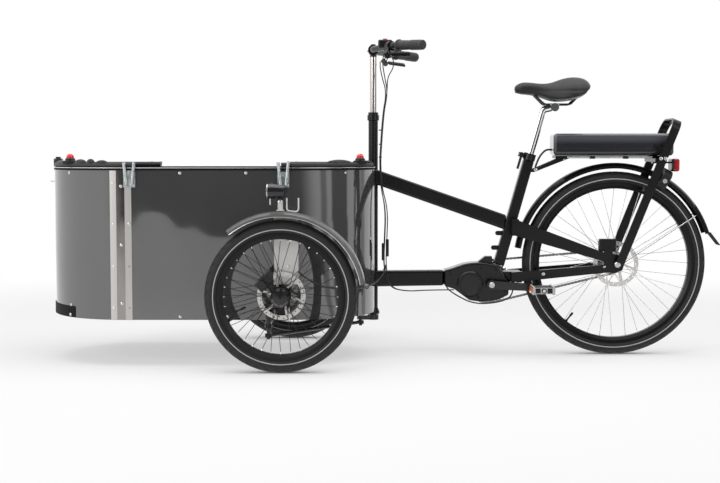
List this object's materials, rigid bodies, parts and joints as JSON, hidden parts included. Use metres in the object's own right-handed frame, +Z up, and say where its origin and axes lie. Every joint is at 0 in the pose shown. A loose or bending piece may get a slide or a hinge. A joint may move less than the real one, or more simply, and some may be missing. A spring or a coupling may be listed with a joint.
{
  "type": "cargo tricycle",
  "caption": "Front-box cargo tricycle: round-ended cargo tub between steered spoked wheels, chain and mid-motor drive to the rear wheel, rack-mounted battery.",
  "frame": {"origin": "centre of the overall box in plan, on the ground plane under the tyres", "axes": "+X to the rear along the length, +Y to the rider's right, +Z up"},
  "size_m": [2.3816, 0.916, 1.1107],
  "materials": {
    "frame_paint": "satin black powder coat",
    "box_paint": "glossy dark grey enamel",
    "stainless": "brushed",
    "chrome": "polished",
    "alloy": "anodised, satin",
    "drive_steel": "oiled",
    "tyre": "matt with a pale reflective stripe",
    "rim_black": "black anodised",
    "spoke_black": "black oxide",
    "black_plastic": "moulded, fine grain",
    "gloss_black": "gloss moulding",
    "rubber": "matt",
    "saddle_cover": "soft matt cover",
    "webbing": "woven webbing on black rails",
    "red_plastic": "gloss red",
    "film_board": "film-faced plywood, dark"
  },
  "bodies": {
    "frame": {"head_tube": "frame_paint", "upper_tube": "frame_paint", "lower_tube": "frame_paint", "seat_tube": "frame_paint", "rear_frame": "frame_paint", "chassis": "frame_paint", "motor": "black_plastic", "box_end_panels": "box_paint", "box_side_panels": "box_paint", "box_floor": "film_board", "box_trim": "black_plastic", "joint_strips": "stainless", "box_brackets": "stainless", "benches": "film_board", "harness": "webbing", "rear_fender": "frame_paint", "rear_rack": "frame_paint", "tail_lamp": "red_plastic", "ring_lock": "black_plastic", "seat_clamp": "alloy", "chain": "drive_steel", "frame_cables": "rubber", "steering_cables": "rubber"},
    "steering": {"steering_stem": "chrome", "handlebar": "frame_paint", "grips": "rubber", "bar_controls": "black_plastic"},
    "drag_link": {"drag_link": "drive_steel"},
    "tie_rod": {"tie_rod": "drive_steel"},
    "brake_lever_left": {"brake_lever_left": "frame_paint"},
    "brake_lever_right": {"brake_lever_right": "frame_paint"},
    "control_button": {"control_button": "red_plastic"},
    "knuckle_left": {"knuckle_left": "stainless", "fender_left": "box_paint"},
    "knuckle_right": {"knuckle_right": "stainless", "fender_right": "box_paint"},
    "headlamp": {"headlamp": "gloss_black"},
    "wheel_left": {"front_tyre_left": "tyre", "front_rim_left": "rim_black", "front_spokes_left": "spoke_black", "front_hub_left": "alloy"},
    "wheel_right": {"front_tyre_right": "tyre", "front_rim_right": "rim_black", "front_spokes_right": "spoke_black", "front_hub_right": "alloy"},
    "rear_wheel": {"rear_tyre": "tyre", "rear_rim": "rim_black", "rear_spokes": "stainless", "rear_hub": "alloy"},
    "rear_sprocket": {"rear_sprocket": "drive_steel"},
    "crankset": {"crank_arms": "frame_paint", "chainring": "drive_steel"},
    "pedal_left": {"pedal_left": "black_plastic"},
    "pedal_right": {"pedal_right": "black_plastic"},
    "seatpost": {"seatpost": "chrome", "saddle": "saddle_cover"},
    "seat_clamp_lever": {"seat_clamp_lever": "alloy"},
    "battery": {"battery": "gloss_black"},
    "buckle_button_front": {"buckle_button_front": "red_plastic"},
    "buckle_button_rear": {"buckle_button_rear": "red_plastic"}
  },
  "joints": [
    {"name": "steering", "type": "hinge", "parent": "frame", "child": "steering", "pos_m": [-0.043, 0, 0.849], "axis": [0, 0, 1], "range_deg": [-20, 20], "deforming": ["steering_cables"]},
    {"name": "knuckle_left_swivel", "type": "hinge", "parent": "frame", "child": "knuckle_left", "pos_m": [-0.349, -0.352, 0.26], "axis": [0, 0, 1], "range_deg": [-20, 20]},
    {"name": "knuckle_right_swivel", "type": "hinge", "parent": "frame", "child": "knuckle_right", "pos_m": [-0.349, 0.352, 0.26], "axis": [0, 0, 1], "range_deg": [-20, 20]},
    {"name": "drag_link_swivel", "type": "hinge", "parent": "steering", "child": "drag_link", "pos_m": [-0.088, 0, 0.114], "axis": [0, 0, 1], "range_deg": [-20, 20]},
    {"name": "tie_rod_swivel", "type": "hinge", "parent": "knuckle_left", "child": "tie_rod", "pos_m": [-0.394, -0.352, 0.145], "axis": [0, 0, 1], "range_deg": [-20, 20]},
    {"name": "wheel_left_spin", "type": "hinge", "parent": "knuckle_left", "child": "wheel_left", "pos_m": [-0.349, -0.415, 0.25], "axis": [0, 1, 0], "continuous": true},
    {"name": "wheel_right_spin", "type": "hinge", "parent": "knuckle_right", "child": "wheel_right", "pos_m": [-0.349, 0.415, 0.25], "axis": [0, 1, 0], "continuous": true},
    {"name": "rear_wheel_spin", "type": "hinge", "parent": "frame", "child": "rear_wheel", "pos_m": [0.816, 0, 0.327], "axis": [0, 1, 0], "continuous": true},
    {"name": "crank_spin", "type": "hinge", "parent": "frame", "child": "crankset", "pos_m": [0.3745, 0, 0.255], "axis": [0, 1, 0], "continuous": true},
    {"name": "rear_sprocket_spin", "type": "hinge", "parent": "frame", "child": "rear_sprocket", "pos_m": [0.816, 0.048, 0.327], "axis": [0, 1, 0], "continuous": true},
    {"name": "pedal_left_spin", "type": "hinge", "parent": "crankset", "child": "pedal_left", "pos_m": [0.54418, -0.136, 0.24462], "axis": [0, 1, 0], "continuous": true},
    {"name": "pedal_right_spin", "type": "hinge", "parent": "crankset", "child": "pedal_right", "pos_m": [0.20482, 0.136, 0.26538], "axis": [0, 1, 0], "continuous": true},
    {"name": "brake_lever_left_pull", "type": "hinge", "parent": "steering", "child": "brake_lever_left", "pos_m": [0.0009, -0.19692, 1.05317], "axis": [-0.4777, -0.5223, 0.7064], "range_deg": [0, 8], "stiffness_Nm_per_rad": 6},
    {"name": "brake_lever_right_pull", "type": "hinge", "parent": "steering", "child": "brake_lever_right", "pos_m": [0.0009, 0.19692, 1.05317], "axis": [0.4777, -0.5223, -0.7064], "range_deg": [0, 8], "stiffness_Nm_per_rad": 6},
    {"name": "control_button_press", "type": "slide", "parent": "steering", "child": "control_button", "axis": [0, 0, -1], "range_m": [0, 0.0025], "stiffness_N_per_m": 900},
    {"name": "headlamp_tilt", "type": "hinge", "parent": "knuckle_left", "child": "headlamp", "pos_m": [-0.349, -0.415, 0.56], "axis": [0, 1, 0], "range_deg": [-15, 15]},
    {"name": "seatpost_height", "type": "slide", "parent": "frame", "child": "seatpost", "axis": [0.2706, 0, 0.9627], "range_m": [-0.06, 0.08]},
    {"name": "seat_clamp_lever_swing", "type": "hinge", "parent": "frame", "child": "seat_clamp_lever", "pos_m": [0.48313, 0, 0.7135], "axis": [0, 1, 0], "range_deg": [0, 150]},
    {"name": "battery_slide", "type": "slide", "parent": "frame", "child": "battery", "axis": [1, 0, 0], "range_m": [0, 0.4]},
    {"name": "buckle_button_front_press", "type": "slide", "parent": "frame", "child": "buckle_button_front", "axis": [0, 0, -1], "range_m": [0, 0.0025], "stiffness_N_per_m": 1200},
    {"name": "buckle_button_rear_press", "type": "slide", "parent": "frame", "child": "buckle_button_rear", "axis": [0, 0, -1], "range_m": [0, 0.0025], "stiffness_N_per_m": 1200}
  ],
  "couplings": [
    {"joint": "knuckle_left_swivel", "follows": "steering", "ratio": 1},
    {"joint": "knuckle_right_swivel", "follows": "steering", "ratio": 1},
    {"joint": "drag_link_swivel", "follows": "steering", "ratio": -1},
    {"joint": "tie_rod_swivel", "follows": "steering", "ratio": -1},
    {"joint": "rear_sprocket_spin", "follows": "crank_spin", "ratio": 1.8095}
  ]
}
